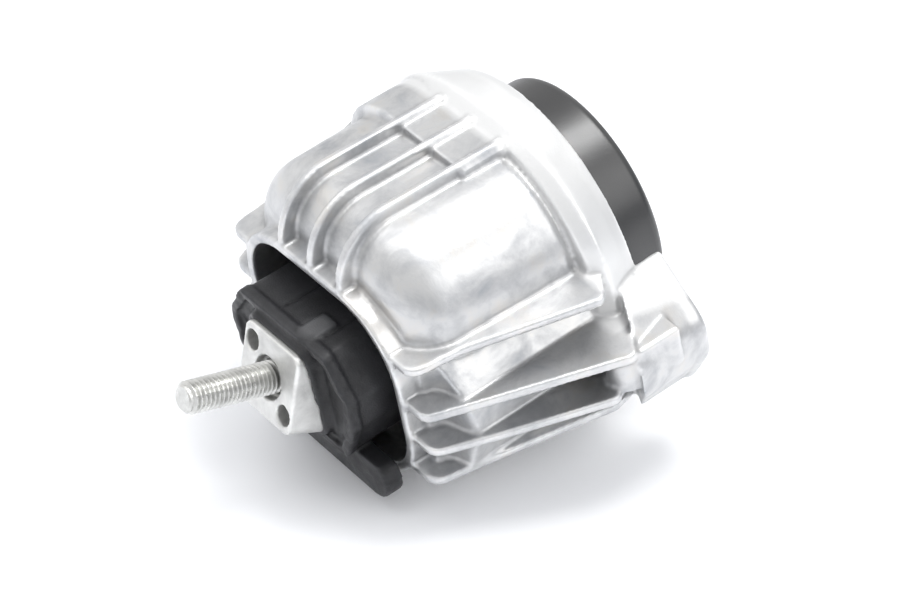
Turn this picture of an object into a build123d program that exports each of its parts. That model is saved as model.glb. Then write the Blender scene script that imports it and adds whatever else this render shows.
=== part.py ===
from build123d import *
from math import cos, sin, radians
import os

os.makedirs("parts", exist_ok=True)

# Hydraulic engine mount. Millimetres. Z is the axis of the bell, from the seat of the base cup (Z = 0)
# up to the block and its stud. The top ribs are on the +Y side, the wings and lugs on +X and -X.

# Base cup and its nut
cup_radius = 38.6
cup_wall = 2.2
cup_corner = 3.2
base_thread_radius = 4.25
base_nut_reach = 8.5
base_nut_height = 8.4
base_nut_spigot = 6.6

# Ring of the housing, and the bore that takes the cup, the plates and the sleeve
ring_back = 18.2
ring_back_radius = 50.0
ring_middle = 22.0
ring_middle_radius = 51.5
ring_ridge = 30.0
ring_ridge_half_width = 54.0
ring_ridge_half_height = 50.0
ring_ridge_corner = 42.0
ring_front = 34.5
ring_front_inset = 3.0
bore_radius = 41.5
lip_thickness = 2.0
lip_gap = 0.4
seat_gap = 0.15

# Stack clamped in the bore, in order from the lip
flange_thickness = 2.0
bellows_ring_thickness = 1.2
bellows_rim_thickness = 2.0
lower_plate_thickness = 4.8
upper_plate_thickness = 3.0
sleeve_height = 17.0
sleeve_wall = 2.0
ledge_radius = 37.0
ledge_height = 3.0

# Hydraulic pieces
decoupler_radius = 15.0
decoupler_thickness = 2.2
decoupler_gap = 0.3
channel_radius = 29.0
channel_width = 5.0
channel_depth = 3.0
port_radius = 2.5
grid_hole_radius = 1.8
grid_circle_radius = 9.0
grid_holes = 8
rivet_radius = 1.6
rivet_head_radius = 2.8
rivet_head_height = 1.0
rivet_circle_radius = 22.0
rivets = 3
bellows_wall = 1.6
bellows_fold_radius = 31.0
bellows_floor = 9.5
bellows_slope_width = 9.0
bellows_slope_height = 3.0
bellows_flare = 2.5

# Belly of the bell
wall = 3.6
shoulder_start = 24.0
shoulder_start_radius = 43.5
shoulder_top = 44.4
shoulder_half_width = 45.5
shoulder_corner = 28.0
shoulder_height = 38.0
belly_top = 45.4
belly_bottom = 44.6
belly_half_width = 43.5
belly_corner = 28.0
belly_front = 89.5
belly_front_radius = 14.5
cavity_bend = 67.0
cavity_shoulder = 80.0
cavity_shoulder_step = 3.6

# Collar and opening at the narrow end
rim_z = 95.6
opening_half_width = 35.5
opening_half_height = 29.6
opening_corner = 21.0
opening_drop = 2.6
collar_wall = 3.2
collar_overlap = 3.0

# Raised land between the ring and the step across the top ribs
land_top = 46.9
land_half_width = 45.5
land_corner = 25.0
land_front = 49.5
land_near_edge = 17.0
land_far_edge = 46.0
land_low_edge = 18.0
land_overlap = 2.0

# Top ribs
rib_pitch = 14.5
rib_thickness = 2.6
rib_back_z = 34.0
rib_back_height = 48.6
rib_bend_z = 74.0
rib_bend_height = 49.4
rib_foot_height = 28.6
rib_foot_gap = 0.4

# Wing plates, from the top one down: height on Y, reach at the front bulge, reach at the lug
plate_heights = [17.0, 2.0, -11.0, -25.0]
plate_front_reach = [45.6, 48.0, 48.6, 45.8]
plate_waist_reach = [47.6, 55.0, 56.0, 49.2]
plate_back_reach = [60.4, 71.4, 69.6, 58.4]
plate_back_z = [37.0, 36.5, 43.5, 38.0]
plate_thickness = 3.0
plate_front_z = 94.8
plate_waist_z = 78.0
plate_bulge_radius = 5.0
plate_end_radius = 3.0
plate_heel_z = 28.5
plate_heel_reach = [46.0, 56.0, 56.0, 56.0]

# Hip, the thick side wall that the wing plates stand on
hip_top = 14.0
hip_upper_reach = 50.2
hip_upper_y = 4.0
hip_reach = 52.5
hip_back_z = 32.0
hip_middle_y = -10.0
hip_lower_reach = 48.0
hip_lower_y = -25.0
hip_bottom = -31.0
hip_root = 42.5
hip_front = 78.0
hip_neck_z = 89.0
hip_neck_reach = 40.0
hip_radius = 5.0

# Lugs behind the wings: back outline, and how far the front outline is wider
lug_back = 8.5
lug_front = 37.0
lug_front_inner = 26.0
lug_front_slope = 0.5
lug_top = 9.0
lug_top_reach = 50.6
lug_top_width = 3.2
lug_inner = lug_top_reach - lug_top_width
lug_nose_reach = 66.8
lug_nose_top = -5.5
lug_nose_low = -16.5
lug_bottom_reach = 59.0
lug_bottom = -29.0
lug_nose_radius = 11.0
lug_spread = 5.0
lug_rise = 4.0
lug_edge_radius = 2.0
lug_web_back = 20.0
lug_border = 0.7
lug_border_width = 4.6
lug_ridge_width = 2.0
lug_ridge_height = 1.4
boss_reach = 64.0
boss_radius = 5.6
boss_front = 42.4

# Block, core and upper stud, on an axis that leans towards the top ribs
lean = 20.7
block_stand = 9.6
block_y = 1.7
block_width = 26.8
block_height = 25.6
block_corner = 2.8
block_depth = 22.0
block_draft = 8.0
counterbore_radius = 6.7
counterbore_depth = 3.2
locating_radius = 3.2
locating_depth = 9.0
locating_x = 9.4
locating_height = 7.5
stud_radius = 5.0
stud_length = 28.7
stud_root_depth = 16.0
stud_shank_radius = 5.6
stud_relief_radius = 4.3
stud_relief_length = 1.0
stud_chamfer = 1.2
core_y = -1.0
core_half_width = 21.0
core_half_height = 12.5
core_corner = 6.0
core_top = 102.0
core_waist = 78.0
core_bottom = 57.0
core_bottom_radius = 13.0

# Rubber body round the core, with its bumper under the block
cover_front = 106.4
cover_back = 84.0
cover_top = 17.2
cover_top_half = 20.5
cover_side_half = 29.3
cover_side_y = 4.5
cover_low_half = 28.6
cover_low_y = -6.5
cover_bottom_half = 21.5
cover_bottom = -20.5
cover_corner = 3.0
cover_edge_lip = 2.0
cover_edge_swell = 0.6
cover_lip_height = 1.7
skirt_width = 33.6
skirt_height = 32.4
skirt_y = -1.2
skirt_corner = 5.0
skirt_rise = 3.6
skirt_draft = 18.0
groove_width = 1.4
groove_depth = 0.8
groove_front_margin = 4.0
groove_places = [-5.4, 14.0]
pad_width = 6.6
pad_height = 0.8
pad_place = 9.5
pad_back = 96.5
bumper_half_width = 34.8
bumper_top = -21.5
bumper_bottom = -35.0
bumper_front = 104.2
bumper_gap = 2.8
bumper_corner = 4.0
bumper_low_corner = 8.5
bumper_neck_half = 19.0
bumper_neck_height = 8.0
spring_neck_radius = 20.0
spring_neck_z = 74.0
spring_neck_height = 4.0
spring_foot_gap = 1.8
spring_foot_height = 11.0
spring_dome_radius = 31.0
spring_dome_height = 15.0

# Places that follow from the sizes above
flange_z = ring_back + lip_thickness
bellows_ring_z = flange_z + flange_thickness
bellows_rim_z = bellows_ring_z + bellows_ring_thickness
lower_plate_z = bellows_rim_z + bellows_rim_thickness
upper_plate_z = lower_plate_z + lower_plate_thickness
sleeve_z = upper_plate_z + upper_plate_thickness
ledge_z = sleeve_z + sleeve_height
spring_foot_low = sleeve_z + spring_foot_gap
stack_radius = bore_radius - seat_gap
block_z = cover_front + block_stand
block_plane = Plane(
    origin=(0, block_y, block_z),
    x_dir=(1, 0, 0),
    z_dir=(0, sin(radians(lean)), cos(radians(lean))),
)


# A round plate that starts at z
def disc(radius, z, height):
    return Pos(0, 0, z) * Cylinder(radius, height, align=(Align.CENTER, Align.CENTER, Align.MIN))


# A flat rounded rectangle at height z
def rounded_section(half_width, top, bottom, corner, z):
    shape = RectangleRounded(2 * half_width, top + bottom, corner)
    return Pos(0, (top - bottom) / 2, z) * shape


# A shape on the +X side together with its mirror image
def both_sides(shape):
    return shape + mirror(shape, about=Plane.YZ)


# A ring made by turning an outline of (radius, z) points about Z
def turned(points):
    outline = make_face(Plane.XZ * Polyline(*points, close=True))
    return revolve(outline, axis=Axis.Z)


# A plain stud along Z from 0, with a chamfered tip
def threaded_rod(radius, length):
    rod = Cylinder(radius, length, align=(Align.CENTER, Align.CENTER, Align.MIN))
    return chamfer(rod.edges().sort_by(Axis.Z)[-1], stud_chamfer)


# Bell housing: ring, belly and collar as outer solids
def housing_shell():
    back = loft([
        Pos(0, 0, ring_back) * Circle(ring_back_radius),
        Pos(0, 0, ring_middle) * Circle(ring_middle_radius),
    ])
    middle = loft([Pos(0, 0, ring_middle) * Circle(ring_middle_radius), ring_section(0, ring_ridge)])
    front = loft([ring_section(0, ring_ridge), ring_section(ring_front_inset, ring_front)])
    shoulder = loft([
        Pos(0, 0, shoulder_start) * Circle(shoulder_start_radius),
        rounded_section(shoulder_half_width, shoulder_top, belly_bottom, shoulder_corner, shoulder_height),
    ])
    belly = loft([
        rounded_section(shoulder_half_width, shoulder_top, belly_bottom, shoulder_corner, shoulder_height),
        rounded_section(belly_half_width, belly_top, belly_bottom, belly_corner, belly_front),
    ], ruled=True)
    front_edges = belly.edges().group_by(Axis.Z)[-1]
    belly = fillet(front_edges, belly_front_radius)
    collar = extrude(opening_section(collar_wall, belly_front - wall), rim_z - belly_front + wall)
    return back + middle + front + shoulder + belly + collar


# The ring's rounded-square outline at height z, drawn in by inset
def ring_section(inset, z):
    half_width = ring_ridge_half_width - inset
    half_height = ring_ridge_half_height - inset
    shape = RectangleRounded(2 * half_width, 2 * half_height, ring_ridge_corner - inset)
    return Pos(0, 0, z) * shape


# The outline of the opening, grown outwards, at height z
def opening_section(grow, z):
    half_height = opening_half_height + grow
    shape = RectangleRounded(2 * (opening_half_width + grow), 2 * half_height, opening_corner + grow)
    return Pos(0, -opening_drop, z) * shape


# Raised land between the ring and the ribs' step
def housing_land():
    outline = rounded_section(land_half_width, land_top, belly_bottom, land_corner, ring_front - land_overlap)
    block = extrude(outline, land_front - ring_front + land_overlap)
    width = land_near_edge + land_far_edge
    keep = Pos((land_near_edge - land_far_edge) / 2, land_low_edge, ring_front - land_overlap) * Box(
        width, shoulder_top, land_front, align=(Align.CENTER, Align.MIN, Align.MIN))
    return block & keep


# One top rib: straight over the belly, then bending down to the opening
def top_rib(x):
    start = (rib_back_height, rib_back_z)
    bend = (rib_bend_height, rib_bend_z)
    foot = (rib_foot_height, rim_z - rib_foot_gap)
    slope = (bend[0] - start[0], bend[1] - start[1])
    outline = Plane.YZ * make_face([
        Line(start, bend),
        TangentArc(bend, foot, tangent=slope),
        Polyline(foot, (rib_foot_height, rib_back_z), start),
    ])
    plate = extrude(outline, rib_thickness / 2, both=True)
    return Pos(x, 0, 0) * plate


# One wing plate, from the collar's bulge to the lug
def wing_plate(height, front_reach, waist_reach, back_reach, back_z, heel_reach):
    root = opening_half_width - collar_overlap
    face = make_face(Plane.XZ * Polyline(
        (root, plate_heel_z),
        (heel_reach, plate_heel_z),
        (back_reach, back_z),
        (waist_reach, plate_waist_z),
        (front_reach, plate_front_z),
        (root, plate_front_z),
        close=True,
    ))
    front = face.vertices().group_by(Axis.Z)[-1].sort_by(Axis.X)[-1]
    face = fillet(front, plate_bulge_radius)
    back = face.vertices().sort_by(Axis.X)[-1]
    face = fillet(back, plate_end_radius)
    plate = extrude(face, plate_thickness / 2, both=True)
    return Pos(0, height, 0) * plate


# Thick side wall that the plates stand on, necked in behind the collar
def hip():
    inner = opening_half_width - 2 * collar_overlap
    outline = make_face(Polyline(
        (inner, hip_top),
        (hip_root, hip_top),
        (hip_upper_reach, hip_upper_y),
        (hip_reach, hip_middle_y),
        (hip_lower_reach, hip_lower_y),
        (hip_root, hip_bottom),
        (inner, hip_bottom),
        close=True,
    ))
    outline = fillet(outline.vertices().sort_by(Axis.X)[-4:], hip_radius)
    block = extrude(Pos(0, 0, hip_back_z) * outline, hip_neck_z - hip_back_z)
    profile = Plane.XZ * make_face([
        Polyline((hip_reach, hip_front), (hip_reach, 0), (0, 0), (0, hip_neck_z), (hip_neck_reach, hip_neck_z)),
        Spline((hip_reach, hip_front), (hip_neck_reach, hip_neck_z), tangents=[(0, 1), (0, 1)]),
    ])
    return block & extrude(profile, 2 * shoulder_top, both=True)


# Outline of the lug, wider by spread on the nose and higher by rise at the top
def lug_outline(spread, rise, z):
    outline = make_face(Polyline(
        (lug_inner, lug_top + rise),
        (lug_top_reach + rise, lug_top + rise),
        (lug_nose_reach + spread, lug_nose_top + rise),
        (lug_nose_reach + spread, lug_nose_low + rise),
        (lug_bottom_reach, lug_bottom),
        (lug_inner, lug_bottom),
        close=True,
    ))
    nose = outline.vertices().sort_by(Axis.X)[-2:]
    return Pos(0, 0, z) * fillet(nose, lug_nose_radius)


# Locating lug behind the wing, with the boss between two plates
def lug():
    body = loft([
        lug_outline(0, 0, lug_back + lug_edge_radius),
        lug_outline(lug_spread, lug_rise, lug_front),
    ])
    border = extrude(offset(lug_outline(0, 0, lug_back), lug_border), lug_border_width)
    border = fillet(border.edges().group_by(Axis.Z)[0], lug_edge_radius)
    ridge = Pos(lug_inner + lug_ridge_width / 2, lug_top, lug_back) * Box(
        lug_ridge_width, 2 * lug_ridge_height, ring_ridge - lug_back,
        align=(Align.CENTER, Align.CENTER, Align.MIN))
    inner = bore_radius + lip_thickness
    web = Pos((inner + lug_top_reach) / 2, (lug_top + lug_bottom) / 2, lug_web_back) * Box(
        lug_top_reach - inner, lug_top - lug_bottom, lug_front - lug_web_back,
        align=(Align.CENTER, Align.CENTER, Align.MIN))
    front_plane = Plane(origin=(lug_top_reach, 0, lug_front_inner), z_dir=(-lug_front_slope, 0, 1))
    cut_off = extrude(front_plane * Rectangle(4 * lug_nose_reach, 4 * lug_nose_reach), lug_front)
    body = body + border + ridge + web - cut_off
    boss_height = plate_heights[1] - plate_heights[2]
    boss = Pos(boss_reach, plate_heights[2], boss_front - boss_radius) * (
        Rot(-90, 0, 0) * Cylinder(boss_radius, boss_height, align=(Align.CENTER, Align.CENTER, Align.MIN)))
    foot = Pos(boss_reach, (plate_heights[1] + plate_heights[2]) / 2, lug_web_back) * Box(
        2 * boss_radius, boss_height, boss_front - boss_radius - lug_web_back,
        align=(Align.CENTER, Align.CENTER, Align.MIN))
    return body + boss + foot


def housing_cavity():
    bore = disc(bore_radius, flange_z, ledge_z - flange_z)
    mouth = disc(cup_radius + lip_gap, ring_back - 1, lip_thickness + 2)
    ledge = disc(ledge_radius, ledge_z - 1, ledge_height + 2)
    start = ledge_z + ledge_height
    straight = extrude(inner_section(0, start), cavity_bend - start)
    narrowing = loft([
        inner_section(0, cavity_bend),
        inner_section(cavity_shoulder_step, cavity_shoulder),
        opening_section(0, belly_front - 1),
    ], ruled=True)
    opening = extrude(opening_section(0, belly_front - 1), rim_z - belly_front + 2)
    return bore + mouth + ledge + straight + narrowing + opening


# The inside of the belly at height z, drawn in by a step
def inner_section(step, z):
    inset = wall + step
    return rounded_section(belly_half_width - inset, belly_top - inset, belly_bottom - inset, belly_corner - inset, z)


def housing():
    shape = housing_shell() + housing_land()
    for place in (-rib_pitch, 0, rib_pitch):
        shape += top_rib(place)
    side = hip() + lug()
    plates = zip(
        plate_heights, plate_front_reach, plate_waist_reach, plate_back_reach, plate_back_z, plate_heel_reach)
    for sizes in plates:
        side += wing_plate(*sizes)
    shape += both_sides(side)
    return shape - housing_cavity()


# Core: leaning block on a straight body with a round nose in the spring
def core_outer():
    block = extrude(block_plane * RectangleRounded(block_width, block_height, block_corner),
                    -block_depth, taper=-block_draft)
    body = Pos(0, core_y, core_waist) * extrude(
        RectangleRounded(2 * core_half_width, 2 * core_half_height, core_corner), core_top - core_waist)
    nose = loft([
        Pos(0, core_y, core_waist) * RectangleRounded(2 * core_half_width, 2 * core_half_height, core_corner),
        Pos(0, 0, core_bottom) * Circle(core_bottom_radius),
    ])
    return block + body + nose


def core():
    shape = core_outer()
    shape -= block_plane * Cylinder(counterbore_radius, 2 * counterbore_depth)
    shape -= block_plane * disc(stud_shank_radius, -stud_root_depth, stud_root_depth)
    for side in (-1, 1):
        place = Pos(side * locating_x, -side * locating_height, 0)
        shape -= block_plane * (place * Cylinder(locating_radius, 2 * locating_depth))
    return shape


# Rubber body: cover round the core, bumper, and the cone of the spring
def cover_outline(grow):
    points = [
        (cover_top_half + grow, cover_top + grow),
        (cover_side_half + grow, cover_side_y),
        (cover_low_half + grow, cover_low_y),
        (cover_bottom_half + grow, cover_bottom - grow),
    ]
    left = [(-x, y) for x, y in reversed(points)]
    face = make_face(Polyline(*points, *left, close=True))
    return fillet(face.vertices(), cover_corner)


def rubber_spring():
    cover = extrude(Pos(0, 0, cover_back) * cover_outline(0), cover_front - cover_back)
    for place in groove_places:
        cover -= Pos(place, cover_top, (cover_front + cover_back) / 2 - groove_front_margin) * Box(
            groove_width, 2 * groove_depth, cover_front - cover_back)
    cover += Pos(pad_place, cover_top, pad_back) * Box(
        pad_width, 2 * pad_height, cover_front - pad_back, align=(Align.CENTER, Align.CENTER, Align.MIN))
    lip = Pos(0, 0, cover_front - cover_lip_height) * extrude(cover_outline(cover_edge_swell), 2 * cover_lip_height)
    dish = Pos(0, 0, cover_front) * extrude(cover_outline(-cover_edge_lip), 2 * cover_lip_height)
    skirt_base = Pos(0, skirt_y, cover_front) * RectangleRounded(skirt_width, skirt_height, skirt_corner)
    skirt = extrude(skirt_base, skirt_rise, taper=skirt_draft)
    bumper_face = Pos(0, (bumper_top + bumper_bottom) / 2, rim_z + bumper_gap) * Rectangle(
        2 * bumper_half_width, bumper_top - bumper_bottom)
    bumper_face = fillet(bumper_face.vertices().group_by(Axis.Y)[0], bumper_low_corner)
    bumper_face = fillet(bumper_face.vertices().group_by(Axis.Y)[-1], bumper_corner)
    bumper = extrude(bumper_face, bumper_front - rim_z - bumper_gap)
    neck = Pos(0, cover_bottom, rim_z + bumper_gap) * Box(
        2 * bumper_neck_half, bumper_neck_height, bumper_front - rim_z - bumper_gap,
        align=(Align.CENTER, Align.CENTER, Align.MIN))
    waist = loft([
        Pos(0, 0, cover_back) * cover_outline(-0.5),
        Pos(0, 0, spring_neck_z) * Circle(spring_neck_radius),
    ])
    inner = stack_radius - sleeve_wall
    cone = turned([
        (0, spring_neck_z + 1),
        (spring_neck_radius, spring_neck_z + 1),
        (spring_neck_radius, spring_neck_z - spring_neck_height),
        (inner, spring_foot_low + spring_foot_height),
        (inner, spring_foot_low),
        (spring_dome_radius, spring_foot_low),
        (core_bottom_radius, spring_foot_low + spring_dome_height),
        (0, spring_foot_low + spring_dome_height),
    ])
    shape = cover + lip - dish + skirt + bumper + neck + waist + cone
    return shape - core_outer()


def spring_sleeve():
    tube = disc(stack_radius, sleeve_z, sleeve_height)
    return tube - disc(stack_radius - sleeve_wall, sleeve_z - 1, sleeve_height + 2)


# Hydraulic unit
def lower_plate():
    plate = disc(stack_radius, lower_plate_z, lower_plate_thickness)
    channel = disc(channel_radius + channel_width / 2, upper_plate_z - channel_depth, channel_depth + 1)
    channel -= disc(channel_radius - channel_width / 2, upper_plate_z - channel_depth - 1, channel_depth + 3)
    plate -= channel
    plate -= disc(decoupler_radius + decoupler_gap, upper_plate_z - decoupler_thickness - decoupler_gap, 10)
    plate -= grid(lower_plate_z)
    plate -= Pos(0, -channel_radius, lower_plate_z) * Cylinder(port_radius, 4 * channel_depth)
    return plate - rivet_holes()


def upper_plate():
    plate = disc(stack_radius, upper_plate_z, upper_plate_thickness)
    plate -= grid(upper_plate_z)
    plate -= Pos(0, channel_radius, upper_plate_z) * Cylinder(port_radius, 4 * channel_depth)
    return plate - rivet_holes()


# The round holes that let fluid reach the decoupler
def grid(z):
    hole = Pos(0, 0, z) * Cylinder(grid_hole_radius, 4 * lower_plate_thickness)
    ring = PolarLocations(grid_circle_radius, grid_holes)
    return Part() + [place * hole for place in ring] + hole


def rivet_places():
    return PolarLocations(rivet_circle_radius, rivets, start_angle=30)


def rivet_holes():
    hole = Pos(0, 0, upper_plate_z) * Cylinder(rivet_radius, 6 * lower_plate_thickness)
    return Part() + [place * hole for place in rivet_places()]


def nozzle_rivets():
    length = lower_plate_thickness + upper_plate_thickness
    rivet = disc(rivet_radius, lower_plate_z, length)
    rivet += disc(rivet_head_radius, lower_plate_z - rivet_head_height, rivet_head_height)
    rivet += disc(rivet_head_radius, lower_plate_z + length, rivet_head_height)
    return Compound(children=[place * rivet for place in rivet_places()])


def decoupler():
    return disc(decoupler_radius, upper_plate_z - decoupler_thickness - decoupler_gap / 2, decoupler_thickness)


def bellows():
    top = bellows_rim_z + bellows_rim_thickness
    inner = bellows_fold_radius
    shell = turned([
        (0, bellows_floor),
        (inner - bellows_slope_width, bellows_floor),
        (inner, bellows_floor + bellows_slope_height),
        (inner + bellows_flare, bellows_rim_z),
        (stack_radius, bellows_rim_z),
        (stack_radius, top),
        (inner + bellows_flare - bellows_wall, top),
        (inner - bellows_wall, bellows_floor + bellows_slope_height + bellows_wall),
        (inner - bellows_slope_width, bellows_floor + bellows_wall),
        (0, bellows_floor + bellows_wall),
    ])
    return shell


def bellows_ring():
    return disc(stack_radius, bellows_ring_z, bellows_ring_thickness) - disc(
        cup_radius - cup_wall, bellows_ring_z - 1, bellows_ring_thickness + 2)


def base_cup():
    top = flange_z + flange_thickness
    can = disc(cup_radius, 0, top)
    can = fillet(can.edges().sort_by(Axis.Z)[0], cup_corner)
    inside = disc(cup_radius - cup_wall, cup_wall, top)
    inside = fillet(inside.edges().sort_by(Axis.Z)[0], cup_corner - cup_wall)
    flange = disc(stack_radius, flange_z, flange_thickness)
    hole = disc(base_nut_spigot, -1, cup_wall + 2)
    return can + flange - inside - hole


def base_nut():
    body = extrude(Pos(0, 0, cup_wall) * RegularPolygon(base_nut_reach, 6), base_nut_height - cup_wall)
    return disc(base_nut_spigot, 0, cup_wall) + body - disc(base_thread_radius, -1, base_nut_height + 2)


def upper_stud():
    shank = disc(stud_shank_radius, -stud_root_depth, stud_root_depth - counterbore_depth)
    relief = disc(stud_relief_radius, -counterbore_depth, stud_relief_length)
    start = stud_relief_length - counterbore_depth
    rod = Pos(0, 0, start) * threaded_rod(stud_radius, stud_length - start)
    return block_plane * (shank + relief + rod)


nodes = {
    "housing": housing,
    "core": core,
    "rubber_spring": rubber_spring,
    "spring_sleeve": spring_sleeve,
    "upper_stud": upper_stud,
    "base_cup": base_cup,
    "base_nut": base_nut,
    "nozzle_plate_lower": lower_plate,
    "nozzle_plate_upper": upper_plate,
    "nozzle_rivets": nozzle_rivets,
    "decoupler": decoupler,
    "bellows": bellows,
    "bellows_ring": bellows_ring,
}

for name, make in nodes.items():
    export_step(make(), f"parts/{name}.step")
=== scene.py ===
import math

import bmesh
import bpy
from mathutils import Matrix, Vector, noise


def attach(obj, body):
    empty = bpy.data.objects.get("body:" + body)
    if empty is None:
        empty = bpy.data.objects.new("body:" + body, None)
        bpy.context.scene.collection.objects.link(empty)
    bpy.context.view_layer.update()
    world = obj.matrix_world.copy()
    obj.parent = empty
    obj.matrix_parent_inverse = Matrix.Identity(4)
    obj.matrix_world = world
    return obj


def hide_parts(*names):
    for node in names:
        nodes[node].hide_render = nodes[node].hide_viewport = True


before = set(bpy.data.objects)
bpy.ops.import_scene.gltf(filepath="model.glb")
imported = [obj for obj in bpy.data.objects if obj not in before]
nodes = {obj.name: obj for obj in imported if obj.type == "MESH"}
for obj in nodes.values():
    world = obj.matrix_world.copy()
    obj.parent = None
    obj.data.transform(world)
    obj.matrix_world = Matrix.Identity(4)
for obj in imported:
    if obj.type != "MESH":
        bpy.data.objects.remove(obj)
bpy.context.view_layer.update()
print("frame loaded")

# Camera: where the photo was taken from, in the mount's own frame
cameraView = {
    "eye": (0.6529, 0.6385, 0.4108),
    "right": (0.58817, -0.15367, -0.79400),
    "up": (-0.46576, 0.73826, -0.48790),
    "lens": 134.24,
    "sensor": 36.0,
    "clip": (0.01, 20.0),
}


def addCamera(view):
    right = Vector(view["right"]).normalized()
    up = Vector(view["up"])
    up = (up - right * up.dot(right)).normalized()
    back = right.cross(up)
    turn = Matrix((right, up, back)).transposed()
    data = bpy.data.cameras.new("photoCamera")
    data.lens = view["lens"]
    data.sensor_width = view["sensor"]
    data.clip_start, data.clip_end = view["clip"]
    camera = bpy.data.objects.new("photoCamera", data)
    camera.matrix_world = Matrix.Translation(view["eye"]) @ turn.to_4x4()
    bpy.context.scene.collection.objects.link(camera)
    bpy.context.scene.camera = camera


addCamera(cameraView)
print("camera placed")

# Sockets of a Mix node that share their names, by number: first, second and result
mixNumbers = (2, 3, 0)
mixColors = (6, 7, 2)


# Shader helpers
def newMaterial(name):
    material = bpy.data.materials.new(name)
    material.use_nodes = True
    tree = material.node_tree
    tree.nodes.clear()
    output = addNode(tree, "ShaderNodeOutputMaterial")
    shader = addNode(tree, "ShaderNodeBsdfPrincipled")
    tree.links.new(shader.outputs["BSDF"], output.inputs["Surface"])
    return material, tree, shader


def addNode(tree, kind, **values):
    node = tree.nodes.new(kind)
    for key, value in values.items():
        setattr(node, key, value)
    return node


def setInputs(node, values):
    for key, value in values.items():
        node.inputs[key].default_value = value


def addRamp(tree, value, stops):
    node = addNode(tree, "ShaderNodeValToRGB")
    ramp = node.color_ramp
    while len(ramp.elements) < len(stops):
        ramp.elements.new(0.5)
    for element, (place, color) in zip(ramp.elements, stops):
        element.position = place
        element.color = (*color, 1.0)
    tree.links.new(value, node.inputs["Fac"])
    return node.outputs["Color"]


def addRange(tree, value, fromLow, fromHigh, toLow, toHigh):
    node = addNode(tree, "ShaderNodeMapRange")
    setInputs(node, {"From Min": fromLow, "From Max": fromHigh, "To Min": toLow, "To Max": toHigh})
    tree.links.new(value, node.inputs["Value"])
    return node.outputs["Result"]


def addBump(tree, height, strength, distance):
    node = addNode(tree, "ShaderNodeBump")
    setInputs(node, {"Strength": strength, "Distance": distance})
    tree.links.new(height, node.inputs["Height"])
    return node.outputs["Normal"]


# Mixes a changing colour with a plain one
def addMix(tree, share, color, other):
    mix = addNode(tree, "ShaderNodeMix", data_type="RGBA")
    first, second, result = mixColors
    tree.links.new(share, mix.inputs["Factor"])
    tree.links.new(color, mix.inputs[first])
    mix.inputs[second].default_value = (*other, 1.0)
    return mix.outputs[result]


# 1 for rays that show a surface or the room as it is, 0 for those that only light things
def addSeenRays(tree):
    rays = addNode(tree, "ShaderNodeLightPath")
    total = rays.outputs["Is Camera Ray"]
    for name in ("Is Glossy Ray", "Is Transmission Ray"):
        larger = addNode(tree, "ShaderNodeMath", operation="MAXIMUM")
        tree.links.new(total, larger.inputs[0])
        tree.links.new(rays.outputs[name], larger.inputs[1])
        total = larger.outputs[0]
    return total


# Fine texture of every surface: large blotches, fine grain, and the bump height they make together
grainTexture = {
    "inputs": {"Blotch Scale": 60.0, "Grain Scale": 900.0, "Blotch Share": 0.5},
    "blotch": {"Detail": 5.0, "Roughness": 0.62, "Distortion": 0.4},
    "grain": {"Detail": 3.0},
}


def buildGrainGroup(values):
    group = bpy.data.node_groups.new("surfaceGrain", "ShaderNodeTree")
    for name, value in values["inputs"].items():
        socket = group.interface.new_socket(name, in_out="INPUT", socket_type="NodeSocketFloat")
        socket.default_value = value
    for name in ("Blotches", "Height"):
        group.interface.new_socket(name, in_out="OUTPUT", socket_type="NodeSocketFloat")
    entry = addNode(group, "NodeGroupInput")
    leave = addNode(group, "NodeGroupOutput")
    place = addNode(group, "ShaderNodeTexCoord").outputs["Object"]
    blotch = addNode(group, "ShaderNodeTexNoise")
    setInputs(blotch, values["blotch"])
    grain = addNode(group, "ShaderNodeTexNoise")
    setInputs(grain, values["grain"])
    for node, socket in ((blotch, "Blotch Scale"), (grain, "Grain Scale")):
        group.links.new(place, node.inputs["Vector"])
        group.links.new(entry.outputs[socket], node.inputs["Scale"])
    mix = addNode(group, "ShaderNodeMix")
    first, second, result = mixNumbers
    group.links.new(entry.outputs["Blotch Share"], mix.inputs[0])
    group.links.new(grain.outputs["Fac"], mix.inputs[first])
    group.links.new(blotch.outputs["Fac"], mix.inputs[second])
    group.links.new(blotch.outputs["Fac"], leave.inputs["Blotches"])
    group.links.new(mix.outputs[result], leave.inputs["Height"])
    return group


# Painted shade and wear of cast and moulded surfaces: the colour made darker in hollows, a painted shade,
# and lighter on edges, partly real edge wear and partly a painted highlight.
# Each input of its group sets one end of the range from the mesh's pointiness to the shade
shadeAndWearSockets = {
    "Hollow Point": "From Min",
    "Edge Point": "From Max",
    "Hollow Shade": "To Min",
    "Edge Shade": "To Max",
}


def buildShadeAndWearGroup():
    group = bpy.data.node_groups.new("edgeShadeAndWear", "ShaderNodeTree")
    group.interface.new_socket("Color", in_out="INPUT", socket_type="NodeSocketColor")
    for name in shadeAndWearSockets:
        group.interface.new_socket(name, in_out="INPUT", socket_type="NodeSocketFloat")
    group.interface.new_socket("Color", in_out="OUTPUT", socket_type="NodeSocketColor")
    entry = addNode(group, "NodeGroupInput")
    leave = addNode(group, "NodeGroupOutput")
    shape = addNode(group, "ShaderNodeNewGeometry")
    shade = addNode(group, "ShaderNodeMapRange")
    for name, socket in shadeAndWearSockets.items():
        group.links.new(entry.outputs[name], shade.inputs[socket])
    group.links.new(shape.outputs["Pointiness"], shade.inputs["Value"])
    scaled = addNode(group, "ShaderNodeVectorMath", operation="SCALE")
    group.links.new(entry.outputs["Color"], scaled.inputs[0])
    group.links.new(shade.outputs["Result"], scaled.inputs["Scale"])
    group.links.new(scaled.outputs[0], leave.inputs["Color"])
    return group


grainGroup = buildGrainGroup(grainTexture)
shadeAndWearGroup = buildShadeAndWearGroup()


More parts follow.
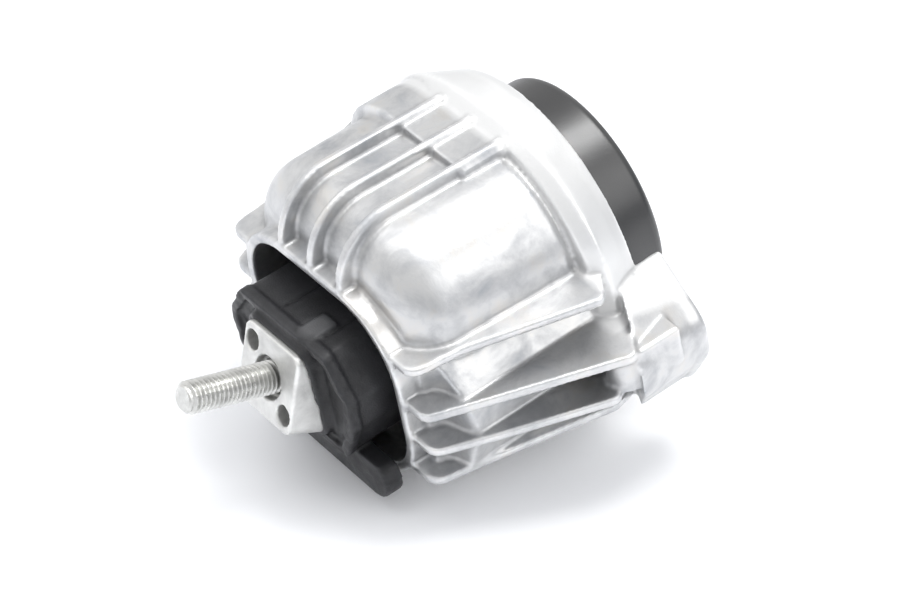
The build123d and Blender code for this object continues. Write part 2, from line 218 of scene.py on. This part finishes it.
def addGrain(tree, blotchScale, grainScale, share):
    node = addNode(tree, "ShaderNodeGroup", node_tree=grainGroup)
    setInputs(node, {"Blotch Scale": blotchScale, "Grain Scale": grainScale, "Blotch Share": share})
    return node.outputs


def addShadeAndWear(tree, color, values):
    node = addNode(tree, "ShaderNodeGroup", node_tree=shadeAndWearGroup)
    setInputs(node, dict(zip(shadeAndWearSockets, values)))
    tree.links.new(color, node.inputs["Color"])
    return node.outputs["Color"]


# 1 on the ring, which is painted lighter as a painted highlight: low along the mount and near its axis
def addRingHighlightMask(tree, values):
    place = addNode(tree, "ShaderNodeTexCoord")
    parts = addNode(tree, "ShaderNodeSeparateXYZ")
    tree.links.new(place.outputs["Object"], parts.inputs[0])
    flat = addNode(tree, "ShaderNodeVectorMath", operation="MULTIPLY")
    flat.inputs[1].default_value = (1.0, 1.0, 0.0)
    tree.links.new(place.outputs["Object"], flat.inputs[0])
    away = addNode(tree, "ShaderNodeVectorMath", operation="LENGTH")
    tree.links.new(flat.outputs[0], away.inputs[0])
    along = addRange(tree, parts.outputs["Z"], values["high"], values["low"], 0.0, 1.0)
    near = addRange(tree, away.outputs["Value"], values["outer"], values["inner"], 0.0, 1.0)
    both = addNode(tree, "ShaderNodeMath", operation="MULTIPLY")
    tree.links.new(along, both.inputs[0])
    tree.links.new(near, both.inputs[1])
    return both.outputs[0]


# A share near a point, fading to 0 away from it
def addSpot(tree, values):
    place = addNode(tree, "ShaderNodeTexCoord")
    apart = addNode(tree, "ShaderNodeVectorMath", operation="DISTANCE")
    apart.inputs[1].default_value = values["centre"]
    tree.links.new(place.outputs["Object"], apart.inputs[0])
    return addRange(tree, apart.outputs["Value"], values["outer"], values["inner"], 0.0, values["share"])


# Where along the blotches the dark and light colours and the roughness range lie
blotchStops = (0.32, 0.68)
roughStops = (0.35, 0.65)
plainSpecular = 0.5

# Materials: colours, painted shade and wear in the order of its sockets, roughness range, texture, and bump
# depth in metres
finishes = {
    "castHousing": {
        "colors": [
            (0.30, (0.46, 0.475, 0.50)),
            (0.43, (0.58, 0.585, 0.595)),
            (0.56, (0.70, 0.702, 0.705)),
            (0.66, (0.72, 0.705, 0.685)),
            (0.74, (0.64, 0.635, 0.63)),
        ],
        "metallic": 0.9, "shadeAndWear": (0.42, 0.56, 0.48, 1.14), "rough": (0.31, 0.48),
        # The ring band painted lighter and less metallic: a painted highlight
        "ring": {
            "high": 0.0375, "low": 0.0350, "outer": 0.0610, "inner": 0.0595,
            "color": (0.88, 0.88, 0.875), "metallic": 0.65,
        },
        "blotch": 70.0, "grain": 1100.0, "share": 0.6, "bump": 0.0004, "strength": 0.25,
    },
    "coreMetal": {
        "dark": (0.62, 0.62, 0.61), "light": (0.80, 0.80, 0.785),
        "metallic": 0.9, "shadeAndWear": (0.40, 0.56, 0.62, 1.15), "rough": (0.42, 0.58),
        "blotch": 120.0, "grain": 1500.0, "share": 0.4, "bump": 0.0003, "strength": 0.35,
    },
    "springRubber": {
        "dark": (0.009, 0.009, 0.010), "light": (0.024, 0.024, 0.026), "specular": 0.36,
        "metallic": 0.0, "shadeAndWear": (0.42, 0.60, 0.5, 2.5), "rough": (0.33, 0.52),
        # A lighter spot on the pad on top of the rubber: a painted highlight
        "padHighlight": {
            "centre": (0.0093, 0.0185, 0.1015), "inner": 0.003, "outer": 0.006,
            "share": 0.8, "color": (0.075, 0.075, 0.077),
        },
        "blotch": 90.0, "grain": 1800.0, "share": 0.5, "bump": 0.0004, "strength": 0.4,
    },
    "cupCoating": {
        "dark": (0.008, 0.008, 0.009), "light": (0.012, 0.012, 0.013), "specular": 1.0,
        "metallic": 0.0, "rough": (0.29, 0.36),
        "blotch": 60.0, "grain": 2200.0, "share": 0.2, "bump": 0.0002, "strength": 0.25,
    },
    "zincSteel": {
        "dark": (0.52, 0.52, 0.505), "light": (0.72, 0.72, 0.70),
        "metallic": 1.0, "rough": (0.24, 0.38),
        "blotch": 200.0, "grain": 2600.0, "share": 0.3, "bump": 0.0001, "strength": 0.25,
    },
    "sleeveSteel": {
        "dark": (0.16, 0.165, 0.175), "light": (0.26, 0.265, 0.27),
        "metallic": 0.9, "rough": (0.40, 0.55),
        "blotch": 150.0, "grain": 1600.0, "share": 0.4, "bump": 0.0002, "strength": 0.3,
    },
    "plateMetal": {
        "dark": (0.42, 0.43, 0.44), "light": (0.62, 0.63, 0.64),
        "metallic": 0.9, "rough": (0.38, 0.5),
        "blotch": 110.0, "grain": 1500.0, "share": 0.5, "bump": 0.0003, "strength": 0.3,
    },
    "thinRubber": {
        "dark": (0.02, 0.02, 0.02), "light": (0.04, 0.04, 0.04),
        "metallic": 0.0, "rough": (0.6, 0.75),
        "blotch": 150.0, "grain": 1900.0, "share": 0.4, "bump": 0.0002, "strength": 0.3,
    },
}


def finishMaterial(name, values):
    material, tree, shader = newMaterial(name)
    surface = addGrain(tree, values["blotch"], values["grain"], values["share"])
    if "colors" in values:
        stops = values["colors"]
    else:
        stops = list(zip(blotchStops, (values["dark"], values["light"])))
    color = addRamp(tree, surface["Blotches"], stops)
    shader.inputs["Metallic"].default_value = values["metallic"]
    # Painted highlight: the ring band made lighter and less metallic
    if "ring" in values:
        ring = values["ring"]
        share = addRingHighlightMask(tree, ring)
        color = addMix(tree, share, color, ring["color"])
        metallic = addRange(tree, share, 0.0, 1.0, values["metallic"], ring["metallic"])
        tree.links.new(metallic, shader.inputs["Metallic"])
    # Painted highlight: a lighter spot on the rubber's pad
    if "padHighlight" in values:
        padHighlight = values["padHighlight"]
        color = addMix(tree, addSpot(tree, padHighlight), color, padHighlight["color"])
    # Painted shade in hollows, and lighter edges: partly edge wear, partly a painted highlight
    if "shadeAndWear" in values:
        color = addShadeAndWear(tree, color, values["shadeAndWear"])
    tree.links.new(color, shader.inputs["Base Color"])
    low, high = values["rough"]
    roughness = addRange(tree, surface["Blotches"], *roughStops, high, low)
    tree.links.new(roughness, shader.inputs["Roughness"])
    shader.inputs["Specular IOR Level"].default_value = values.get("specular", plainSpecular)
    normal = addBump(tree, surface["Height"], values["strength"], values["bump"])
    tree.links.new(normal, shader.inputs["Normal"])
    return material


materials = {name: finishMaterial(name, values) for name, values in finishes.items()}

# The finish of each CAD node, and of the piece that stands for it
nodeFinish = {
    "housing": "castHousing",
    "core": "coreMetal",
    "rubber_spring": "springRubber",
    "spring_sleeve": "sleeveSteel",
    "upper_stud": "zincSteel",
    "base_cup": "cupCoating",
    "base_nut": "zincSteel",
    "nozzle_plate_lower": "plateMetal",
    "nozzle_plate_upper": "plateMetal",
    "nozzle_rivets": "zincSteel",
    "decoupler": "thinRubber",
    "bellows": "thinRubber",
    "bellows_ring": "sleeveSteel",
}


def paint(obj, name):
    obj.data.materials.clear()
    obj.data.materials.append(materials[name])


for nodeName, finishName in nodeFinish.items():
    paint(nodes[nodeName], finishName)
print("materials made")

# Points of a mesh nearer than this are one point
weldDistance = 1e-6


def applyModifiers(obj):
    graph = bpy.context.evaluated_depsgraph_get()
    mesh = bpy.data.meshes.new_from_object(obj.evaluated_get(graph))
    obj.modifiers.clear()
    old = obj.data
    obj.data = mesh
    bpy.data.meshes.remove(old)


def addModifier(obj, kind, **values):
    modifier = obj.modifiers.new(kind.lower(), kind)
    for key, value in values.items():
        setattr(modifier, key, value)


# Uneven flash on a moulding: points in a band across the mount move in and out by noise
def roughenBand(mesh, values):
    normals = [vert.normal.copy() for vert in mesh.vertices]
    for vert, normal in zip(mesh.vertices, normals):
        middle = abs(vert.co.z - values["height"]) / values["half"]
        if middle < 1.0:
            wave = noise.noise(vert.co * values["scale"])
            vert.co += normal * wave * values["depth"] * (1.0 - middle * middle)


# Stands for a cast or moulded node: a copy of its mesh, remeshed, smoothed and thinned, so its edges are soft
def softenedCopy(nodeName, pieceName, values):
    mesh = nodes[nodeName].data.copy()
    bm = bmesh.new()
    bm.from_mesh(mesh)
    bmesh.ops.remove_doubles(bm, verts=bm.verts, dist=weldDistance)
    bm.to_mesh(mesh)
    bm.free()
    obj = bpy.data.objects.new(pieceName, mesh)
    bpy.context.scene.collection.objects.link(obj)
    addModifier(obj, "REMESH", mode="VOXEL", voxel_size=values["voxel"])
    addModifier(obj, "SMOOTH", factor=values["pull"], iterations=values["smooth"])
    addModifier(obj, "DECIMATE", ratio=values["keep"])
    bpy.context.view_layer.update()
    applyModifiers(obj)
    if "ragged" in values:
        roughenBand(obj.data, values["ragged"])
    for polygon in obj.data.polygons:
        polygon.use_smooth = True
    paint(obj, nodeFinish[nodeName])
    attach(obj, "root")
    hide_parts(nodeName)
    print(pieceName, len(obj.data.polygons), "faces")


castingSoftness = {"voxel": 0.0007, "smooth": 5, "pull": 0.5, "keep": 0.45}
rubberSoftness = {
    "voxel": 0.0006, "smooth": 4, "pull": 0.5, "keep": 0.5,
    "ragged": {"height": 0.1085, "half": 0.0035, "scale": 300.0, "depth": 0.0006},
}
coreSoftness = {"voxel": 0.0005, "smooth": 3, "pull": 0.5, "keep": 0.5}
softenedCopy("housing", "housingCasting", castingSoftness)
softenedCopy("rubber_spring", "springMoulding", rubberSoftness)
softenedCopy("core", "coreCasting", coreSoftness)

# Upper stud with its thread. The profile is one pitch: share of the pitch, and share of the thread's depth
thread = {
    "lean": 20.7,
    "face": (0.0, 0.0017, 0.116),
    "radius": 0.005,
    "root": 0.00408,
    "pitch": 0.0015,
    "profile": ((0.0, 0.0), (0.1, 0.0), (0.44, 1.0), (0.56, 1.0), (0.9, 0.0), (1.0, 0.0)),
    "length": 0.0287,
    "below": 0.016,
    "tipRadius": 0.0036,
    "tipSlope": 1.0,
    "steps": 32,
    "spareTurns": 2,
}


# Cuts off what lies past a height, on the side given, and closes the end
def cutEnd(bm, height, side):
    bmesh.ops.bisect_plane(
        bm, geom=bm.verts[:] + bm.edges[:] + bm.faces[:], plane_co=(0, 0, height), plane_no=(0, 0, side),
        clear_outer=True,
    )
    rim = [
        edge for edge in bm.edges
        if edge.is_boundary and all(abs(vert.co.z - height) < weldDistance for vert in edge.verts)
    ]
    bmesh.ops.contextual_create(bm, geom=rim)


def addThreadedStud(values):
    bm = bmesh.new()
    pitch = values["pitch"]
    start = -values["below"]
    line = []
    for along, height in values["profile"]:
        radius = values["root"] + (values["radius"] - values["root"]) * height
        line.append(bm.verts.new((radius, 0.0, start - pitch + along * pitch)))
    edges = [bm.edges.new(pair) for pair in zip(line, line[1:])]
    turns = math.ceil((values["length"] + values["below"]) / pitch) + values["spareTurns"]
    steps = values["steps"]
    bmesh.ops.spin(
        bm, geom=line + edges, cent=(0, 0, 0), axis=(0, 0, 1), dvec=(0, 0, pitch / steps),
        angle=2 * math.pi * turns, steps=steps * turns, use_duplicate=False,
    )
    bmesh.ops.remove_doubles(bm, verts=bm.verts, dist=weldDistance)
    cutEnd(bm, start, -1)
    cutEnd(bm, values["length"], 1)
    for vert in bm.verts:
        limit = values["tipRadius"] + (values["length"] - vert.co.z) * values["tipSlope"]
        radius = math.hypot(vert.co.x, vert.co.y)
        if radius > limit:
            vert.co.x *= limit / radius
            vert.co.y *= limit / radius
    bmesh.ops.recalc_face_normals(bm, faces=bm.faces)
    mesh = bpy.data.meshes.new("threadedStud")
    bm.to_mesh(mesh)
    bm.free()
    tilt = Matrix.Rotation(-math.radians(values["lean"]), 4, "X")
    mesh.transform(Matrix.Translation(values["face"]) @ tilt)
    obj = bpy.data.objects.new("threadedStud", mesh)
    bpy.context.scene.collection.objects.link(obj)
    paint(obj, nodeFinish["upper_stud"])
    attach(obj, "root")
    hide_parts("upper_stud")
    print("threadedStud", len(mesh.polygons), "faces")


addThreadedStud(thread)

# Floor: the plane that the mount lies on, pale on its upper side and clear from below
floorPlane = {
    "normal": (-0.06, 0.98, -0.19),
    "below": 0.029,
    "centre": (0.0, -0.02, 0.06),
    "size": 4.0,
    "color": (0.95, 0.95, 0.955),
    "rough": 0.9,
    "glow": 0.04,
}


def floorMaterial(values):
    material, tree, shader = newMaterial("floorPaper")
    shader.inputs["Base Color"].default_value = (*values["color"], 1.0)
    shader.inputs["Roughness"].default_value = values["rough"]
    glow = addNode(tree, "ShaderNodeEmission")
    glow.inputs["Color"].default_value = (1.0, 1.0, 1.0, 1.0)
    strength = addNode(tree, "ShaderNodeMath", operation="MULTIPLY")
    strength.inputs[1].default_value = values["glow"]
    both = addNode(tree, "ShaderNodeAddShader")
    clear = addNode(tree, "ShaderNodeBsdfTransparent")
    choose = addNode(tree, "ShaderNodeMixShader")
    geometry = addNode(tree, "ShaderNodeNewGeometry")
    output = next(node for node in tree.nodes if node.type == "OUTPUT_MATERIAL")
    tree.links.new(addSeenRays(tree), strength.inputs[0])
    tree.links.new(strength.outputs[0], glow.inputs["Strength"])
    tree.links.new(shader.outputs["BSDF"], both.inputs[0])
    tree.links.new(glow.outputs[0], both.inputs[1])
    tree.links.new(geometry.outputs["Backfacing"], choose.inputs[0])
    tree.links.new(both.outputs[0], choose.inputs[1])
    tree.links.new(clear.outputs["BSDF"], choose.inputs[2])
    tree.links.new(choose.outputs["Shader"], output.inputs["Surface"])
    return material


def addFloor(values):
    normal = Vector(values["normal"]).normalized()
    bm = bmesh.new()
    bmesh.ops.create_grid(bm, x_segments=1, y_segments=1, size=values["size"] / 2)
    mesh = bpy.data.meshes.new("floor")
    bm.to_mesh(mesh)
    bm.free()
    turn = normal.to_track_quat("Z", "Y").to_matrix().to_4x4()
    place = Vector(values["centre"]) - normal * values["below"]
    mesh.transform(Matrix.Translation(place) @ turn)
    obj = bpy.data.objects.new("floor", mesh)
    bpy.context.scene.collection.objects.link(obj)
    mesh.materials.append(floorMaterial(values))


addFloor(floorPlane)

# Lights: soft panels over, behind and beside the mount, aimed at its middle
lightCentre = Vector((0.0, 0.0, 0.06))
lightPanels = [
    {"name": "topPanel", "towards": (-0.25, 0.95, 0.10), "away": 0.8, "size": 0.6, "power": 1.3},
    {"name": "backPanel", "towards": (0.08, 0.86, -0.45), "away": 0.8, "size": 0.32, "power": 2.9},
    {"name": "rightPanel", "towards": (0.76, 0.48, -0.42), "away": 0.9, "size": 0.6, "power": 1.6},
    {"name": "sidePanel", "towards": (-0.80, 0.35, 0.35), "away": 1.0, "size": 1.1, "power": 0.8},
]


def addPanel(values):
    data = bpy.data.lights.new(values["name"], "AREA")
    data.shape = "SQUARE"
    data.size = values["size"]
    data.energy = values["power"]
    obj = bpy.data.objects.new(values["name"], data)
    direction = Vector(values["towards"]).normalized()
    obj.location = lightCentre + direction * values["away"]
    obj.rotation_mode = "QUATERNION"
    obj.rotation_quaternion = direction.to_track_quat("Z", "Y")
    bpy.context.scene.collection.objects.link(obj)


# Room: plain white to the camera, darker low down in reflections, and an even fill as light
roomLight = {
    "seen": (1.0, 1.0, 1.0),
    "up": (-0.30, 0.92, -0.05),
    "walls": [
        (0.44, (0.28, 0.29, 0.31)),
        (0.53, (0.64, 0.65, 0.66)),
        (0.62, (0.90, 0.90, 0.90)),
    ],
    "fill": (0.94, 0.96, 1.0),
    "fillStrength": 0.90,
}


def addRoom(values):
    world = bpy.data.worlds.new("room")
    world.use_nodes = True
    tree = world.node_tree
    tree.nodes.clear()
    output = addNode(tree, "ShaderNodeOutputWorld")
    place = addNode(tree, "ShaderNodeTexCoord")
    height = addNode(tree, "ShaderNodeVectorMath", operation="DOT_PRODUCT")
    height.inputs[1].default_value = Vector(values["up"]).normalized()
    tree.links.new(place.outputs["Generated"], height.inputs[0])
    share = addRange(tree, height.outputs["Value"], -1.0, 1.0, 0.0, 1.0)
    shown = addNode(tree, "ShaderNodeBackground")
    tree.links.new(addRamp(tree, share, values["walls"]), shown.inputs["Color"])
    behind = addNode(tree, "ShaderNodeBackground")
    behind.inputs["Color"].default_value = (*values["seen"], 1.0)
    fill = addNode(tree, "ShaderNodeBackground")
    fill.inputs["Color"].default_value = (*values["fill"], 1.0)
    fill.inputs["Strength"].default_value = values["fillStrength"]
    rays = addNode(tree, "ShaderNodeLightPath")
    lit = addNode(tree, "ShaderNodeMixShader")
    tree.links.new(addSeenRays(tree), lit.inputs[0])
    tree.links.new(fill.outputs[0], lit.inputs[1])
    tree.links.new(shown.outputs[0], lit.inputs[2])
    choose = addNode(tree, "ShaderNodeMixShader")
    tree.links.new(rays.outputs["Is Camera Ray"], choose.inputs[0])
    tree.links.new(lit.outputs[0], choose.inputs[1])
    tree.links.new(behind.outputs[0], choose.inputs[2])
    tree.links.new(choose.outputs[0], output.inputs["Surface"])
    bpy.context.scene.world = world


for panel in lightPanels:
    addPanel(panel)
addRoom(roomLight)
bpy.context.scene.view_settings.view_transform = "Standard"
print("lights and floor placed")
